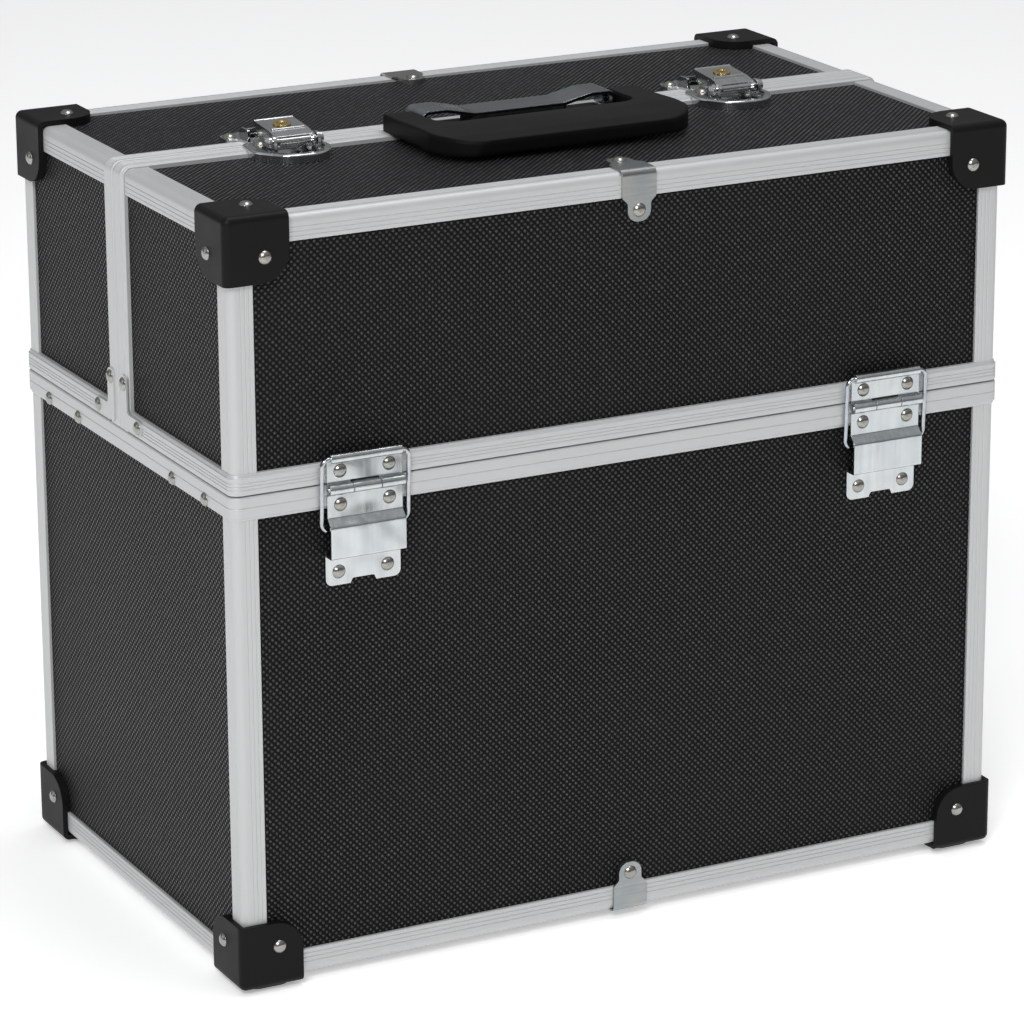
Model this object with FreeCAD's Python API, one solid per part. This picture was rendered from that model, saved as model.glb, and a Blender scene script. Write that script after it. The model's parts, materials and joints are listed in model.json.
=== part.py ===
import FreeCAD, Part
import math
import os

# Makeup train case: an aluminium-framed box whose top splits into a front and a rear lid
# half. Opening each half swings out two cantilever trays on parallel bars.
# Millimetres. +X runs along the width, +Y from the front to the rear, +Z up.
# The origin is on the floor under the middle of the case.

# ---------------------------------------------------------------- driving dimensions
WIDTH = 375.0            # over the aluminium frame, along X
DEPTH = 226.0            # over the aluminium frame, along Y
HEIGHT = 336.5           # over the aluminium frame, along Z
GUARD = 2.4              # wall of the plastic corner protectors, outside the frame
FOOT = 2.1               # foot pad under each bottom protector
SPLIT = 219.2            # parting line between base and lids, above the frame's bottom
SEAM = 4.5               # plane between the two lid halves
GAP = 0.5                # running gap at the parting line and at the seam

SHEET = 1.5              # wall of the edge profiles
FLANGE = 11.3            # visible width of an edge profile
NOSE = 3.5               # outer radius of an edge profile
BOARD = 3.0              # thickness of the boards
RAISE = 1.3              # how far rims and seam profiles stand out from the frame
BASE_RIM = 10.65         # height of the base's rim
LID_RIM = 9.15           # height of a lid's rim
SEAM_WIDTH = 10.2        # width of a seam profile
RIM_NOSE = 4.8           # outer radius of a rim's corner

CAP = 27.0               # length of a protector along each edge
CAP_ROUND = 13.0         # rounding of each protector plate's inner corner
CAP_RIVET = 16.0         # rivet in a protector, from both edges

HEAD_R = 3.1             # dome rivets
HEAD_H = 1.5
SHANK_R = 1.9
HOLE_R = 2.0
RUN_R = 1.95             # hole that turns on a rivet shank

HINGE_X = 128.0          # hinge centres, left and right
LEAF = 1.2               # hinge sheet
LEAF_HALF = 17.5         # half width of a hinge
LEAF_RIVET = 11.4        # rivets, from a hinge's middle
AXIS_OUT = 2.5           # hinge axis, in front of the rim's face
BARREL_R = 2.4
PIN_R = 1.2
AXIS_DROP = 2.0          # hinge axis, below the parting line
WIRE_R = 1.0             # lid stay wire
STAY_HALF = 20.2         # half width of a lid stay, on the wire's line
STAY_LENGTH = 31.6       # height of a lid stay, on the wire's line

LOCK_X = 110.0           # lock centres, left and right
HANDLE_X = 1.2           # middle of the carry handle

ARM_OUT = 86.5           # outer bar pivots, from the middle plane
ARM_IN = 52.3            # inner bar pivots
ARM_REACH = 92.0         # from a base pivot to the upper tray's pivot
ARM_HALF = 5.0           # half width of a tray bar
FRONT_START = 58.0       # lean of the closed front bars, degrees above the inward direction
REAR_START = 65.0        # the same for the rear bars
TRAY_HALF = 177.5        # half length of a tray
TRAY_WALL = 1.8
TRAY_UNDER = 19.0        # tray floor below its pivots
TRAY_OVER = 17.0         # tray lip above its pivots

# ---------------------------------------------------------------- derived planes
FLOOR = GUARD + FOOT                     # underside of the frame
ROOF = FLOOR + HEIGHT                    # top of the frame
PARTING = FLOOR + SPLIT
BASE_TOP = PARTING - GAP / 2
LID_LOW = PARTING + GAP / 2
SIDE = WIDTH / 2
FACE = DEPTH / 2
BOARD_X = SIDE - SHEET                   # outer face of the side boards
BOARD_Y = FACE - SHEET
INSIDE_X = BOARD_X - BOARD
INSIDE_Y = BOARD_Y - BOARD
RIM_X = SIDE + RAISE
RIM_Y = FACE + RAISE
WEB = 1.5                                # web that closes a rim over the board's edge
RIM_LEG = SHEET + RAISE                  # outer leg of a rim, out to the board
LIP = 1.2                                # inner leg of a rim
AXIS_Y = RIM_Y + AXIS_OUT
AXIS_Z = PARTING - AXIS_DROP
FRONT_SEAM = SEAM - GAP / 2
REAR_SEAM = SEAM + GAP / 2
ARM_Z = PARTING - 7.7                    # bar pivots on the base

V = FreeCAD.Vector


# ---------------------------------------------------------------- drawing helpers
def on_x(x):
    return lambda u, v: V(x, u, v)


def on_y(y):
    return lambda u, v: V(u, y, v)


def on_z(z):
    return lambda u, v: V(u, v, z)


def outline(corners, place):
    """Closed wire through (u, v, radius) corners; a radius rounds its corner."""
    stops = []
    for i, (u, v, radius) in enumerate(corners):
        here = V(u, v, 0)
        before = V(*corners[i - 1][:2], 0) - here
        after = V(*corners[(i + 1) % len(corners)][:2], 0) - here
        if radius == 0:
            stops.append((here, None, here))
            continue
        half = before.getAngle(after) / 2
        before.normalize()
        after.normalize()
        inward = before + after
        inward.normalize()
        back = radius / math.tan(half)
        middle = here + inward * (radius / math.sin(half) - radius)
        stops.append((here + before * back, middle, here + after * back))
    edges = []
    for i, (enter, middle, leave) in enumerate(stops):
        if middle is not None:
            points = [place(p.x, p.y) for p in (enter, middle, leave)]
            edges.append(Part.Arc(*points).toShape())
        onward = stops[(i + 1) % len(stops)][0]
        if leave.distanceToPoint(onward) > 1e-6:
            edges.append(Part.makeLine(place(leave.x, leave.y), place(onward.x, onward.y)))
    return Part.Wire(edges)


def prism(corners, place, run):
    return Part.Face(outline(corners, place)).extrude(run)


def box(x, y, z):
    """Box between pairs of limits, in any order."""
    low = V(min(x), min(y), min(z))
    size = (abs(x[1] - x[0]), abs(y[1] - y[0]), abs(z[1] - z[0]))
    return Part.makeBox(*size, low)


def rod(radius, start, end):
    run = end - start
    return Part.makeCylinder(radius, run.Length, start, run)


def fuse(shapes):
    whole = shapes[0].multiFuse(shapes[1:]) if len(shapes) > 1 else shapes[0]
    return whole.removeSplitter()


def flip(shape, axis):
    """Mirror image through the plane X=0 or Y=0."""
    normal = V(1, 0, 0) if axis == "x" else V(0, 1, 0)
    return shape.mirror(V(0, 0, 0), normal)


def both(shape, axis="x"):
    return [shape, flip(shape, axis)]


def four(shape):
    return [copy for side in both(shape) for copy in both(side, "y")]


def moved(shape, offset):
    copy = shape.copy()
    copy.translate(offset)
    return copy


def rounded_box(x, y, z, radius):
    """Box whose upright edges are rounded."""
    corners = [(x[0], y[0], radius), (x[1], y[0], radius), (x[1], y[1], radius), (x[0], y[1], radius)]
    return prism(corners, on_z(z[0]), V(0, 0, z[1] - z[0]))


def fillet(shape, radius, chosen):
    edges = [edge for edge in shape.Edges if chosen(edge.CenterOfMass)]
    return shape.makeFillet(radius, edges)


# ---------------------------------------------------------------- rivets
def rivet(point, normal, grip):
    """Dome rivet whose head sits on point; its shank runs in against normal."""
    crown = Part.Arc(V(0, 0, HEAD_H), V(HEAD_R * 0.72, 0, HEAD_H * 0.68), V(HEAD_R, 0, 0)).toShape()
    stops = [V(HEAD_R, 0, 0), V(SHANK_R, 0, 0), V(SHANK_R, 0, -grip), V(0, 0, -grip), V(0, 0, HEAD_H)]
    sides = [Part.makeLine(a, b) for a, b in zip(stops, stops[1:])]
    solid = Part.Face(Part.Wire([crown] + sides)).revolve(V(0, 0, 0), V(0, 0, 1), 360)
    solid.Placement = FreeCAD.Placement(point, FreeCAD.Rotation(V(0, 0, 1), normal))
    return solid


def board_grip(point, normal):
    """Length of shank that ends flush with the inner face of the board behind point."""
    if normal.x:
        return abs(point.x) - INSIDE_X
    if normal.y:
        return abs(point.y) - INSIDE_Y
    return point.z - (ROOF - SHEET - BOARD) if normal.z > 0 else FLOOR + SHEET + BOARD - point.z


def board_rivets(spots):
    return [rivet(point, normal, board_grip(point, normal)) for point, normal in spots]


def drill(shape, spots, radius=HOLE_R, deep=14.0):
    """Bore a hole for each (point, normal) spot."""
    tools = [rod(radius, point + normal * 2, point - normal * deep) for point, normal in spots]
    return shape.cut(Part.makeCompound(tools))


# ---------------------------------------------------------------- extrusion sections
def grooves(start, end, count, depth=0.22, half=0.3):
    """V grooves along a section's face; returns the places and depths along it."""
    step = (end - start) / (count + 1)
    marks = []
    for i in range(1, count + 1):
        middle = start + step * i
        marks += [(middle - math.copysign(half, step), 0), (middle, depth),
                  (middle + math.copysign(half, step), 0)]
    return marks


def edge_section():
    """Angle profile with its outer corner at the origin."""
    low = [(u, d, 0) for u, d in grooves(NOSE, FLANGE, 3)]
    high = [(d, v, 0) for v, d in grooves(FLANGE, NOSE, 3)]
    ends = [(FLANGE, 0, 0.5), (FLANGE, SHEET, 0), (SHEET, SHEET, 0), (SHEET, FLANGE, 0), (0, FLANGE, 0.5)]
    return [(0, 0, NOSE)] + low + ends + high


def rim_section(height, inner, marks):
    """Channel over a board's edge: (depth behind the outer face, distance from the parting plane)."""
    face = [(d, v, 0) for v, d in grooves(height - 2.2, 1.2, marks)]
    web_end = RIM_LEG + BOARD + LIP
    tail = [(RIM_LEG, height, 0), (0.9, height, 0.5), (0.45, height - 1.3, 0.3), (0, height - 1.5, 0.3)]
    if not inner:
        return [(0, 0, 0.8), (RIM_LEG, 0, 0)] + tail + face
    well = [(web_end, 0, 0.4), (web_end, 6.0, 0), (RIM_LEG + BOARD, 6.0, 0), (RIM_LEG + BOARD, WEB, 0)]
    return [(0, 0, 0.8)] + well + [(RIM_LEG, WEB, 0)] + tail + face


def edge_bar(corner, u_dir, v_dir, run):
    """Angle profile from corner, its flanges going along u_dir and v_dir, extruded by run."""
    return prism(edge_section(), lambda u, v: corner + u_dir * u + v_dir * v, run)


def rim_bar(height, marks, corner, in_dir, away, run):
    section = rim_section(height, True, marks)
    return prism(section, lambda d, h: corner + in_dir * d + away * h, run)


def rim_turn(height, marks, corner, in_dir, away, turn, angle):
    """Rounded corner of a rim: its outer leg and web, swept about a centre RIM_NOSE inside."""
    centre = corner + in_dir * RIM_NOSE
    leg = prism_face(rim_section(height, False, marks), corner, in_dir, away)
    web = prism_face([(RIM_LEG, 0, 0), (RIM_NOSE, 0, 0), (RIM_NOSE, WEB, 0), (RIM_LEG, WEB, 0)], corner,
                     in_dir, away)
    return [face.revolve(centre, turn, angle) for face in (leg, web)]


def prism_face(section, corner, in_dir, away):
    return Part.Face(outline(section, lambda d, h: corner + in_dir * d + away * h))


def level_rim(height, marks, z, away, long_half, seam):
    """Rim round three sides: a long side with two rounded corners, and two straight sides."""
    along = V(2 * (RIM_X - RIM_NOSE), 0, 0)
    start = V(-RIM_X + RIM_NOSE, -long_half, z)
    long_side = rim_bar(height, marks, start, V(0, 1, 0), V(0, 0, away), along)
    turn = rim_turn(height, marks, start, V(0, 1, 0), V(0, 0, away), V(0, 0, 1), -90)
    long_side = fuse([long_side] + [copy for part in turn for copy in both(part)])
    side_start = V(-RIM_X, -long_half + RIM_NOSE, z)
    side = rim_bar(height, marks, side_start, V(1, 0, 0), V(0, 0, away), V(0, seam + long_half - RIM_NOSE, 0))
    inner_corner = box((-RIM_X, -RIM_X + 20), (-long_half, -long_half + RIM_LEG + BOARD + LIP),
                       (z - 20, z + 20))
    trimmed = side.cut(inner_corner).fuse(side.common(box((-RIM_X, -RIM_X + RIM_LEG), (-200, 200),
                                                          (z - 20, z + 20))))
    return [long_side] + both(trimmed.removeSplitter())


# ---------------------------------------------------------------- corner protectors
def protector_plate(place, out, inward):
    """One plate: outside the frame, with a pad that fills in down to the recessed board."""
    cover = prism([(-GUARD, -GUARD, 0), (CAP, -GUARD, 1), (CAP, CAP, CAP_ROUND), (-GUARD, CAP, 1)], place,
                  out)
    pad_start = FLANGE + 0.2
    pad = [(pad_start, pad_start, 0), (CAP, pad_start, 0), (CAP, CAP, CAP_ROUND), (pad_start, CAP, 0)]
    return [cover, prism(pad, place, inward)]


def protector(with_foot):
    """Cap over the corner at the origin; the case lies on the positive sides."""
    parts = protector_plate(on_x(0), V(-GUARD, 0, 0), V(SHEET, 0, 0))
    parts += protector_plate(on_y(0), V(0, -GUARD, 0), V(0, SHEET, 0))
    parts += protector_plate(on_z(0), V(0, 0, -GUARD), V(0, 0, SHEET))
    cap = fuse(parts)
    cap = fillet(cap, 3.2, lambda p: sum(abs(c + GUARD) < 0.01 for c in (p.x, p.y, p.z)) == 2)
    if with_foot:
        pad = rounded_box((3.5, 24.5), (3.5, 24.5), (-GUARD - FOOT, -GUARD), 6)
        pad = pad.cut(rod(4.4, V(CAP_RIVET, CAP_RIVET, -10), V(CAP_RIVET, CAP_RIVET, 0)))
        cap = fuse([cap, pad])
    return cap


def protector_spots():
    """Rivet places on the three plates of the cap at the origin."""
    return [
        (V(-GUARD, CAP_RIVET, CAP_RIVET), V(-1, 0, 0)),
        (V(CAP_RIVET, -GUARD, CAP_RIVET), V(0, -1, 0)),
        (V(CAP_RIVET, CAP_RIVET, -GUARD), V(0, 0, -1)),
    ]


def at_corner(shape, top):
    """Carry a shape from the origin's corner to the case's front left corner."""
    if top:
        shape = shape.mirror(V(0, 0, 0), V(0, 0, 1))
    return moved(shape, V(-SIDE, -FACE, ROOF if top else FLOOR))


def corner_spots(top):
    up = -1 if top else 1
    base = V(-SIDE, -FACE, ROOF if top else FLOOR)
    return [(base + V(p.x, p.y, up * p.z), V(n.x, n.y, up * n.z)) for p, n in protector_spots()]


def mirror_spots(spots, axes):
    """The spots with their images through X=0 and, if asked, Y=0."""
    result = list(spots)
    for axis in axes:
        sign = V(-1, 1, 1) if axis == "x" else V(1, -1, 1)
        result += [(scaled(p, sign), scaled(n, sign)) for p, n in result]
    return result


def scaled(vector, sign):
    return V(vector.x * sign.x, vector.y * sign.y, vector.z * sign.z)


# ---------------------------------------------------------------- edge clips
CLIP_HALF = 8.25
CLIP_SHEET = 1.0
CLIP_RIVET = 17.0


def clip_plate(reach, place, out, inward):
    """Tab over a flange, narrowing to a rounded end at its rivet."""
    half = CLIP_HALF
    tab = [(-half, -CLIP_SHEET, 0), (half, -CLIP_SHEET, 0), (half, FLANGE, 1.5), (5.6, FLANGE + 2.5, 2)]
    tab += [(5.6, reach, 5), (-5.6, reach, 5), (-5.6, FLANGE + 2.5, 2), (-half, FLANGE, 1.5)]
    pad = [(-5.6, FLANGE + 0.2, 0), (5.6, FLANGE + 0.2, 0), (5.6, reach, 5), (-5.6, reach, 5)]
    return [prism(tab, place, out), prism(pad, place, inward)]


def edge_clip(x, top):
    """Clip over the middle of a long edge at the front, on the top or on the bottom."""
    z = ROOF if top else FLOOR
    down = -1 if top else 1
    face = clip_plate(22.0, lambda u, v: V(x + u, -FACE, z + down * v), V(0, -CLIP_SHEET, 0), V(0, SHEET, 0))
    level = clip_plate(22.0, lambda u, v: V(x + u, -FACE + v, z), V(0, 0, -down * CLIP_SHEET),
                       V(0, 0, down * SHEET))
    clip = fuse(face + level)
    return fillet(clip, 3.0, lambda p: abs(p.y + FACE + CLIP_SHEET) < 0.01 and
                  abs(p.z - z + down * CLIP_SHEET) < 0.01)


def clip_spots(x, top):
    z = ROOF if top else FLOOR
    down = -1 if top else 1
    return [
        (V(x, -FACE - CLIP_SHEET, z + down * CLIP_RIVET), V(0, -1, 0)),
        (V(x, -FACE + CLIP_RIVET, z - down * CLIP_SHEET), V(0, 0, -down)),
    ]


# ---------------------------------------------------------------- hinges and lid stays
CUFF_Z = PARTING + 11.4                  # rolled top edge of the upper leaf, round the stay
CUFF_Y = -(AXIS_Y - 0.4)
LEAF_OUT = RIM_Y + LEAF
KNUCKLE = 6.4                            # half width of the middle knuckle
FOOT_FACE = BOARD_Y + LEAF               # outer face of the leaf's foot on the board
TUNNEL_OUT = BOARD_Y + 7.3               # outer face of the tunnel the stay's lower bar slides in
STAY_FOOT_Y = -(AXIS_Y - 1.9)            # lower bar of the stay


def barrel(x0, x1):
    return rod(BARREL_R, V(x0, -AXIS_Y, AXIS_Z), V(x1, -AXIS_Y, AXIS_Z))


def bore(radius, y, z):
    return rod(radius, V(-40, y, z), V(40, y, z))


def upper_leaf():
    """Lid leaf about X=0: plate, two outer knuckles and the rolled cuff for the stay."""
    corners = [(-RIM_Y, CUFF_Z, 0), (-RIM_Y, LID_LOW + 0.6, 0), (-RIM_Y - 0.3, LID_LOW, 0)]
    corners += [(-RIM_Y - 0.3, AXIS_Z, 0), (-LEAF_OUT, AXIS_Z, 0), (-LEAF_OUT, CUFF_Z, 0)]
    plate = prism(corners, on_x(-LEAF_HALF), V(2 * LEAF_HALF, 0, 0))
    relief = box((-KNUCKLE - 0.3, KNUCKLE + 0.3), (-RIM_Y + 1, -LEAF_OUT - 5),
                 (AXIS_Z - 5, AXIS_Z + BARREL_R + 0.5))
    cuff = rod(2.1, V(1 - LEAF_HALF, CUFF_Y, CUFF_Z), V(LEAF_HALF - 1, CUFF_Y, CUFF_Z))
    outer = [barrel(-LEAF_HALF, -KNUCKLE - 0.3), barrel(KNUCKLE + 0.3, LEAF_HALF)]
    leaf = fuse([plate.cut(relief), cuff] + outer)
    leaf = leaf.cut(bore(WIRE_R + 0.05, CUFF_Y, CUFF_Z))
    return leaf.cut(bore(PIN_R + 0.05, -AXIS_Y, AXIS_Z))


def lower_leaf():
    """Base leaf about X=0: plate on the rim, middle knuckle, tunnel for the stay, foot on the board."""
    top = AXIS_Z - BARREL_R - 0.5
    step = PARTING - 14.9
    full = PARTING - 18.2
    low = PARTING - 32.4
    end = PARTING - 45.6
    outer = [(-LEAF_OUT, top, 0), (-LEAF_OUT, step, 1), (-TUNNEL_OUT, full, 2), (-TUNNEL_OUT, low, 1)]
    outer += [(-FOOT_FACE, low, 0), (-FOOT_FACE, end, 0)]
    inner = [(-BOARD_Y, end, 0), (-BOARD_Y, low + LEAF, 0), (-TUNNEL_OUT + LEAF, low + LEAF, 0)]
    inner += [(-TUNNEL_OUT + LEAF, full, 1), (-RIM_Y, step, 0), (-RIM_Y, top, 0)]
    strip = prism(outer + inner, on_x(-LEAF_HALF), V(2 * LEAF_HALF, 0, 0))
    tab = box((-KNUCKLE + 0.1, KNUCKLE - 0.1), (-RIM_Y, -LEAF_OUT), (top, AXIS_Z))
    leaf = fuse([strip, tab, barrel(-KNUCKLE + 0.1, KNUCKLE - 0.1)])
    notch = [(-6.5, end - 1, 0), (-5.0, end + 2.2, 1), (5.0, end + 2.2, 1), (6.5, end - 1, 0)]
    leaf = leaf.cut(prism(notch, on_y(-FOOT_FACE - 1), V(0, 4, 0)))
    leaf = fillet(leaf, 3.0, lambda p: abs(abs(p.x) - LEAF_HALF) < 0.01 and abs(p.z - end) < 0.01)
    return leaf.cut(bore(PIN_R + 0.05, -AXIS_Y, AXIS_Z))


def stay():
    """Wire loop about X=0, hung in the cuff, its lower bar behind the tunnel."""
    top = V(0, CUFF_Y, CUFF_Z)
    drop = V(0, STAY_FOOT_Y, CUFF_Z - STAY_LENGTH) - top
    length = drop.Length
    drop.normalize()
    corners = [(-STAY_HALF, 0, 3.5), (STAY_HALF, 0, 3.5), (STAY_HALF, length, 3.5), (-STAY_HALF, length, 3.5)]
    return sweep_loop(corners, lambda u, v: top + V(u, 0, 0) + drop * v)


def sweep_loop(corners, place):
    """Closed wire loop of round stock: straight rods joined by quarter tori."""
    parts = []
    for edge in outline(corners, place).Edges:
        first = edge.valueAt(edge.FirstParameter)
        tangent = edge.tangentAt(edge.FirstParameter)
        disc = Part.Face(Part.Wire(Part.makeCircle(WIRE_R, first, tangent)))
        if isinstance(edge.Curve, Part.Line):
            parts.append(disc.extrude(edge.valueAt(edge.LastParameter) - first))
        else:
            centre = edge.Curve.Center
            axis = (first - centre).cross(tangent)
            sweep = math.degrees(edge.Length / edge.Curve.Radius)
            parts.append(disc.revolve(centre, axis, sweep))
    return fuse(parts)


def hinge_pair(shape):
    return [moved(shape, V(x, 0, 0)) for x in (-HINGE_X, HINGE_X)]


def leaf_spots(z, y):
    return [(V(side * HINGE_X + off, -y, z), V(0, -1, 0)) for side in (-1, 1) for off in (-LEAF_RIVET,
                                                                                          LEAF_RIVET)]


def hinge_pin():
    return rod(PIN_R, V(-LEAF_HALF - 0.4, -AXIS_Y, AXIS_Z), V(LEAF_HALF + 0.4, -AXIS_Y, AXIS_Z))


# ---------------------------------------------------------------- seam brackets
BRACKET = 0.8
BRACKET_UP = 21.5                        # upper rivet above the parting line
BRACKET_LOW = 5.3                        # lower rivet above the parting line
BRACKET_IN = 6.9                         # upper rivet from the seam
BRACKET_OUT = 21.5                       # lower rivet from the seam


def seam_bracket(seam):
    """Flat L plate on the left side, over the joint of seam profile and rim."""
    near = seam - BRACKET_IN + 3.4
    far = seam - BRACKET_IN - 3.4
    top = PARTING + BRACKET_UP + 4.0
    low = PARTING + BRACKET_LOW - 3.4
    high = PARTING + BRACKET_LOW + 3.4
    end = seam - BRACKET_OUT - 4.0
    corners = [(near, top, 3.3), (far, top, 3.3), (far, high, 2), (end, high, 3.3), (end, low, 3.3),
               (near, low, 1)]
    return prism(corners, on_x(-RIM_X), V(-BRACKET, 0, 0))


def bracket_spots(seam):
    x = -RIM_X - BRACKET
    places = [(seam - BRACKET_IN, PARTING + BRACKET_UP), (seam - BRACKET_OUT, PARTING + BRACKET_LOW)]
    return [(V(x, y, z), V(-1, 0, 0)) for y, z in places]


# ---------------------------------------------------------------- lid halves
def lid_half(seam, clip_x):
    """One lid half with its long side at the front and its open edge at seam."""
    spots = mirror_spots(corner_spots(True) + bracket_spots(seam), "x")
    spots += clip_spots(clip_x, True) + leaf_spots(PARTING + 5.6, LEAF_OUT)
    panel_low = LID_LOW + WEB
    panel_end = seam - WEB
    top_z = (ROOF - SHEET - BOARD, ROOF - SHEET)
    side_top = ROOF - SHEET - BOARD
    top = box((-BOARD_X, BOARD_X), (-BOARD_Y, panel_end), top_z)
    long_board = box((-INSIDE_X, INSIDE_X), (-BOARD_Y, -INSIDE_Y), (panel_low, side_top))
    side_board = box((-BOARD_X, -INSIDE_X), (-BOARD_Y, panel_end), (panel_low, side_top))
    joint = SEAM_WIDTH + 0.6
    clear = FLANGE + 0.2
    lid_top = LID_LOW + LID_RIM
    long_edge = edge_bar(V(-SIDE + clear, -FACE, ROOF), V(0, 1, 0), V(0, 0, -1), V(2 * (SIDE - clear), 0, 0))
    side_run = V(0, seam - joint + FACE - clear, 0)
    side_edge = edge_bar(V(-SIDE, -FACE + clear, ROOF), V(1, 0, 0), V(0, 0, -1), side_run)
    post_run = V(0, 0, ROOF - clear - lid_top)
    post = edge_bar(V(-SIDE, -FACE, lid_top), V(1, 0, 0), V(0, 1, 0), post_run)
    seam_low = LID_LOW
    away = V(0, -1, 0)
    seam_roof = ROOF + RAISE
    bar_start = V(-RIM_X + RIM_NOSE, seam, seam_roof)
    seam_top = rim_bar(SEAM_WIDTH, 4, bar_start, V(0, 0, -1), away, V(2 * (RIM_X - RIM_NOSE), 0, 0))
    turn = rim_turn(SEAM_WIDTH, 4, bar_start, V(0, 0, -1), away, V(0, 1, 0), -90)
    seam_top = fuse([seam_top] + [copy for part in turn for copy in both(part)])
    leg_run = V(0, 0, seam_roof - RIM_NOSE - seam_low)
    leg = rim_bar(SEAM_WIDTH, 4, V(-RIM_X, seam, seam_low), V(1, 0, 0), away, leg_run)
    leg = leg.cut(box((-RIM_X + RIM_LEG, 0), (-200, 200), (seam_roof - RIM_LEG - BOARD - LIP, ROOF + 10)))
    rim = level_rim(LID_RIM, 3, LID_LOW, 1, RIM_Y, seam - SEAM_WIDTH)
    cap = at_corner(protector(False), True)
    frame = Part.makeCompound(rim + [seam_top, leg])
    parts = {
        "top_panel": [top.cut(seam_top)],
        "long_panel": [long_board],
        "side_panels": both(side_board.cut(frame)),
        "edge_profiles": [long_edge] + both(side_edge) + both(post),
        "rim": rim,
        "seam_profile": [seam_top] + both(leg),
        "protectors": both(cap),
        "seam_brackets": both(seam_bracket(seam)),
        "edge_clip": [edge_clip(clip_x, True)],
        "hinge_upper_leaves": hinge_pair(upper_leaf()),
    }
    parts = {name: [drill(shape, spots) for shape in shapes] for name, shapes in parts.items()}
    parts["rivets"] = board_rivets(spots)
    parts["stays"] = hinge_pair(stay())
    return parts


# ---------------------------------------------------------------- locks
PIVOT_Y = -12.0                          # lever pin
PIVOT_Z = ROOF + 5.4
CLAW_Y = -3.0                            # claw pin, carried by the lever
CLAW_Z = ROOF + 7.0
LEVER_HALF = 9.3
KEY_R = 3.0
KEY_SEAT = V(0, 1.0, ROOF + 9.81)        # middle of the key plug, on the lever's sloping plate
KEY_LINE = V(0, -0.0929, 0.9957)         # its axis, square to that plate


def lock_dish():
    """Pressed front plate about X=0 with two ears for the lever's pin."""
    low = ROOF - SHEET
    seat = ROOF + RAISE
    top = ROOF + 2.7
    rear = FRONT_SEAM - 0.3
    shape = [(-18, rear, 2), (-20.5, -13, 12), (-11, -27.5, 14), (8, -28.5, 12), (16.5, -16, 12),
             (13.5, rear, 2)]
    dish = prism(shape, on_z(low), V(0, 0, top - low))
    dish = dish.cut(box((-30, 30), (FRONT_SEAM - SEAM_WIDTH - 0.2, 20), (low - 1, seat)))
    dish = fillet(dish, 0.9, lambda p: abs(p.z - top) < 0.01)
    pan = [(-13, -6, 2), (-16, -14, 8), (-8.5, -24.5, 9), (6.5, -25.5, 9), (13.5, -15, 8), (12, -6, 2)]
    dish = dish.cut(prism(pan, on_z(top - 1.3), V(0, 0, 4)))
    ear = [(PIVOT_Y - 4, low + 1, 0), (PIVOT_Y - 3, PIVOT_Z + 3, 2.9), (PIVOT_Y + 3, PIVOT_Z + 3, 2.9),
           (PIVOT_Y + 4, low + 1, 0)]
    ears = [prism(ear, on_x(x), V(1.4, 0, 0)) for x in (-LEVER_HALF - 1.8, LEVER_HALF + 0.4)]
    return fuse([dish] + ears).cut(rod(1.55, V(-20, PIVOT_Y, PIVOT_Z), V(20, PIVOT_Y, PIVOT_Z)))


def lock_pin():
    """Lever pin with round end buttons."""
    shank = rod(1.5, V(-LEVER_HALF - 2, PIVOT_Y, PIVOT_Z), V(LEVER_HALF + 2, PIVOT_Y, PIVOT_Z))
    ends = [rod(2.6, V(x, PIVOT_Y, PIVOT_Z), V(x + 1.6, PIVOT_Y, PIVOT_Z)) for x in (-LEVER_HALF - 3.5,
                                                                                     LEVER_HALF + 1.9)]
    return fuse([shank] + ends)


def lock_lever():
    """Flap about X=0: sloping top plate, two cheeks and a rolled finger edge."""
    up = ROOF
    roof_line = [(PIVOT_Y - 0.5, up + 7.6, 0.5), (-5.5, up + 9.2, 1), (9.5, up + 10.6, 0)]
    under = [(9.5, up + 9.4, 0), (-5.4, up + 8.0, 1), (PIVOT_Y - 0.2, up + 6.6, 0.3)]
    plate = prism(roof_line + under, on_x(-LEVER_HALF), V(2 * LEVER_HALF, 0, 0))
    cheek = [(PIVOT_Y - 2.6, PIVOT_Z + 1.6, 1.5), (-5.5, up + 9.2, 1), (9.5, up + 10.5, 0),
             (9.5, up + 8.4, 0)]
    cheek += [(3.5, up + 3.4, 1), (PIVOT_Y - 1, up + 3.0, 2), (PIVOT_Y - 2.8, PIVOT_Z - 1.5, 1)]
    cheeks = [prism(cheek, on_x(x), V(1.3, 0, 0)) for x in (-LEVER_HALF, LEVER_HALF - 1.3)]
    roll = rod(1.15, V(-LEVER_HALF, 10.0, up + 9.9), V(LEVER_HALF, 10.0, up + 9.9))
    bead = rod(0.9, V(-LEVER_HALF + 1.5, -5.2, up + 9.0), V(LEVER_HALF - 1.5, -5.2, up + 9.0))
    lever = fuse([plate, roll, bead] + cheeks)
    lever = lever.cut(rod(1.55, V(-20, PIVOT_Y, PIVOT_Z), V(20, PIVOT_Y, PIVOT_Z)))
    lever = lever.cut(rod(1.05, V(-20, CLAW_Y, CLAW_Z), V(20, CLAW_Y, CLAW_Z)))
    return lever.cut(rod(KEY_R + 0.05, KEY_SEAT - KEY_LINE * 5, KEY_SEAT + KEY_LINE * 5))


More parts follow.
